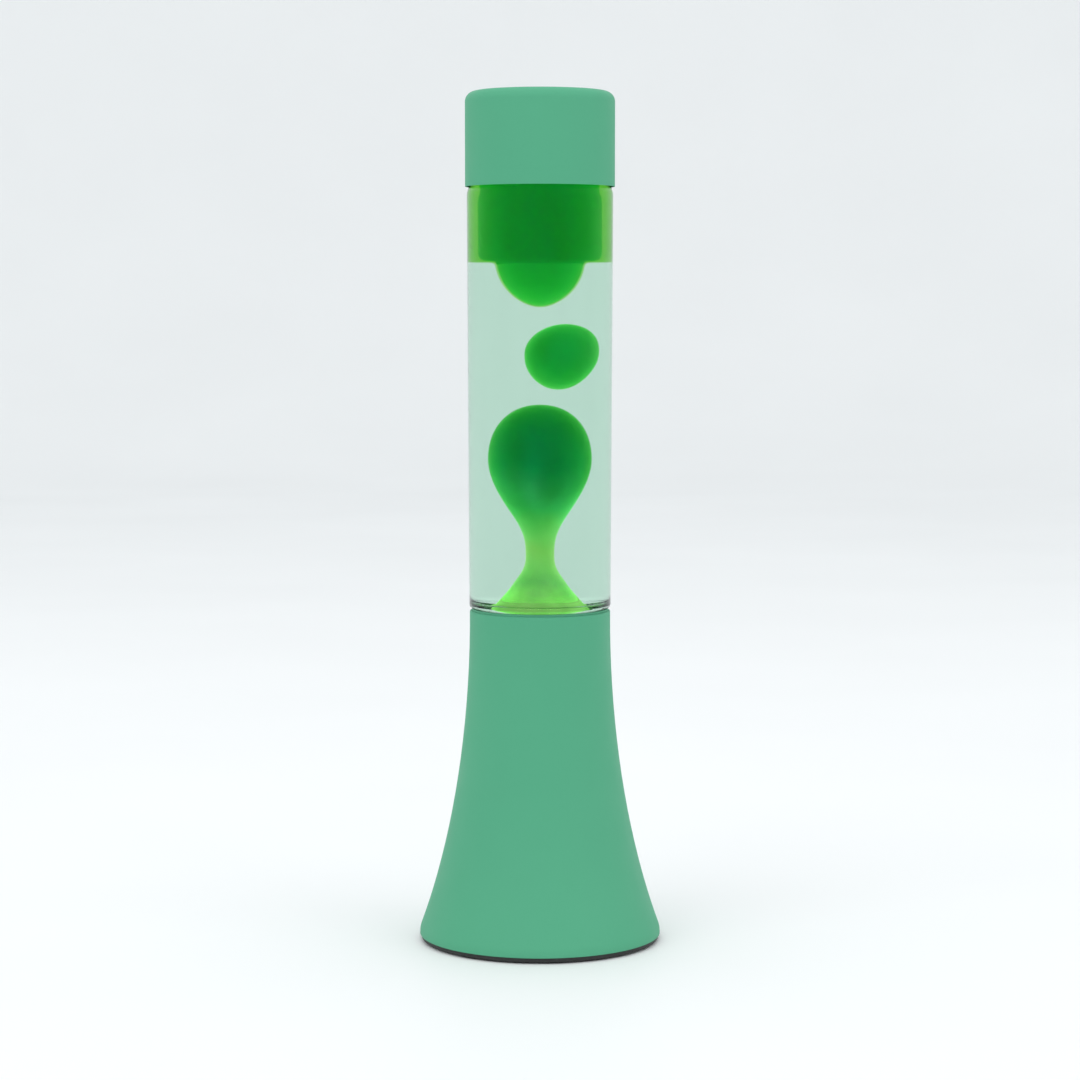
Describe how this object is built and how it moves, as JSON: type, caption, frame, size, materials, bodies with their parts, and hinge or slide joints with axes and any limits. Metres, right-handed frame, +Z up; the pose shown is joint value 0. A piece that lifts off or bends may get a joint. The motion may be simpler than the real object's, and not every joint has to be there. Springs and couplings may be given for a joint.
{
  "type": "lava lamp",
  "caption": "Lava lamp with a flared metal base, a sealed glass bottle of liquid and wax lit and warmed by a reflector bulb, and a lift-off metal cap.",
  "frame": {"origin": "on the table, under the centre of the round base", "axes": "+Z up along the lamp's axis, +Y to the back, where the cord gland is, +X to the right"},
  "size_m": [0.1056, 0.1056, 0.37],
  "materials": {
    "painted_shell": "matt powder coat, mint green",
    "black_plastic": "moulded, fine texture",
    "rubber": "matt",
    "zinc_steel": "zinc plated",
    "white_nylon": "moulded, satin",
    "brass": "bright",
    "tinned_brass": "tinned",
    "bakelite": "pressed, gloss",
    "brown_insulation": "smooth",
    "blue_insulation": "smooth",
    "green_insulation": "green with a yellow stripe",
    "clear_silicone": "translucent, satin",
    "bulb_glass": "clear",
    "black_glass": "opaque gloss",
    "nickel_brass": "nickel plated",
    "solder": "tinned lead-free solder",
    "wire_metal": "drawn wire",
    "bottle_glass": "clear, blown",
    "liquid": "clear liquid, pale mint",
    "wax": "translucent green wax",
    "spring_steel": "bright wire",
    "tinplate": "lacquered tinplate"
  },
  "bodies": {
    "base": {"base_shell": "painted_shell", "base_plate": "black_plastic", "rubber_feet": "rubber", "shell_lugs": "zinc_steel", "plate_screws": "zinc_steel", "cord_gland": "black_plastic", "gland_nut": "black_plastic", "terminal_block": "white_nylon", "terminal_tubes": "brass", "terminal_screws": "brass", "holder_bracket": "zinc_steel", "bracket_screws": "zinc_steel", "bracket_washer": "zinc_steel", "earth_tag": "tinned_brass", "holder_nipple": "zinc_steel", "nipple_nut": "zinc_steel", "lampholder_body": "bakelite", "lampholder_liner": "brass", "lampholder_contact": "brass", "lead_live": "brown_insulation", "lead_neutral": "blue_insulation", "lead_earth": "green_insulation", "seat_gasket": "clear_silicone"},
    "bulb_tip": {"bulb_contact": "solder"},
    "bulb": {"bulb_insulator": "black_glass", "bulb_screw_cap": "nickel_brass", "bulb_envelope": "bulb_glass", "bulb_stem": "bulb_glass", "bulb_support_wires": "wire_metal", "bulb_filament": "wire_metal"},
    "bottle": {"bottle_glass": "bottle_glass", "liquid": "liquid", "wax_top": "wax", "wax_column": "wax", "heating_coil": "spring_steel", "crown_liner": "clear_silicone", "crown_cap": "tinplate"},
    "wax_ball": {"wax_ball": "wax"},
    "cap": {"cap_shell": "painted_shell", "cap_grip_ring": "rubber"}
  },
  "joints": [
    {"name": "bottle_lift", "type": "slide", "parent": "base", "child": "bottle", "axis": [0, 0, 1], "range_m": [0, 0.06]},
    {"name": "cap_lift", "type": "slide", "parent": "bottle", "child": "cap", "axis": [0, 0, 1], "range_m": [0, 0.045]},
    {"name": "wax_ball_drift", "type": "slide", "parent": "bottle", "child": "wax_ball", "axis": [0, 0, 1], "range_m": [-0.005, 0.005]},
    {"name": "bulb_rise", "type": "slide", "parent": "base", "child": "bulb_tip", "axis": [0, 0, 1], "range_m": [0, 0.0099]},
    {"name": "bulb_turn", "type": "hinge", "parent": "bulb_tip", "child": "bulb", "pos_m": [0, 0, 0.028], "axis": [0, 0, 1], "range_deg": [0, 1260]}
  ],
  "couplings": [
    {"joint": "bulb_rise", "follows": "bulb_turn", "m_per_rad": 0.00044914}
  ]
}
